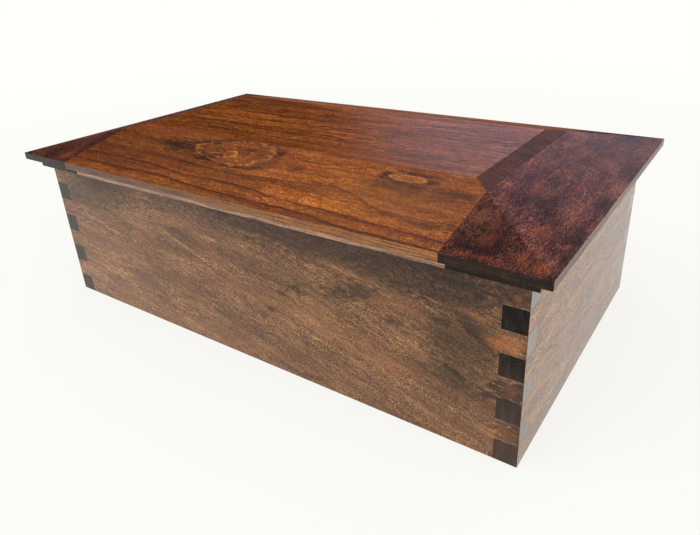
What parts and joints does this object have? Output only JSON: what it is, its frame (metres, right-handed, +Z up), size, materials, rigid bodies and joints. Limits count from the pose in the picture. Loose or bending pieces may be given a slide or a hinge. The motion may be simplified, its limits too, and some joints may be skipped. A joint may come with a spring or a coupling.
{
  "type": "wooden tool chest",
  "caption": "Low rectangular finger-jointed wooden chest with a hinged, overhanging lid planed to four shallow slopes round a flat top.",
  "frame": {"origin": "on the surface the chest stands on, under the middle of the lid's outline", "axes": "+X to the chest's right end seen from the front, +Y to the back, where the hinges are, +Z up"},
  "size_m": [0.578, 0.3416, 0.1912],
  "materials": {
    "wall_wood": "dark stained wood, satin oil",
    "bottom_wood": "unstained wood, matt",
    "lid_wood": "amber figured wood, satin varnish",
    "lid_end_wood": "dark mottled wood, satin varnish",
    "hinge_brass": "machined, lightly tarnished",
    "screw_brass": "turned and slotted"
  },
  "bodies": {
    "case": {"front_wall": "wall_wood", "back_wall": "wall_wood", "left_wall": "wall_wood", "right_wall": "wall_wood", "bottom_panel": "bottom_wood", "left_hinge_wall_leaf": "hinge_brass", "left_hinge_pin": "hinge_brass", "right_hinge_wall_leaf": "hinge_brass", "right_hinge_pin": "hinge_brass", "wall_leaf_screws": "screw_brass"},
    "lid": {"lid_front_board": "lid_wood", "lid_middle_board": "lid_wood", "lid_rear_board": "lid_wood", "lid_left_end": "lid_end_wood", "lid_right_end": "lid_end_wood", "left_hinge_lid_leaf": "hinge_brass", "right_hinge_lid_leaf": "hinge_brass", "lid_leaf_screws": "screw_brass"}
  },
  "joints": [
    {"name": "lid_hinge", "type": "hinge", "parent": "case", "child": "lid", "pos_m": [0, 0.16393, 0.1538], "axis": [-1, 0, 0], "range_deg": [0, 95]}
  ]
}
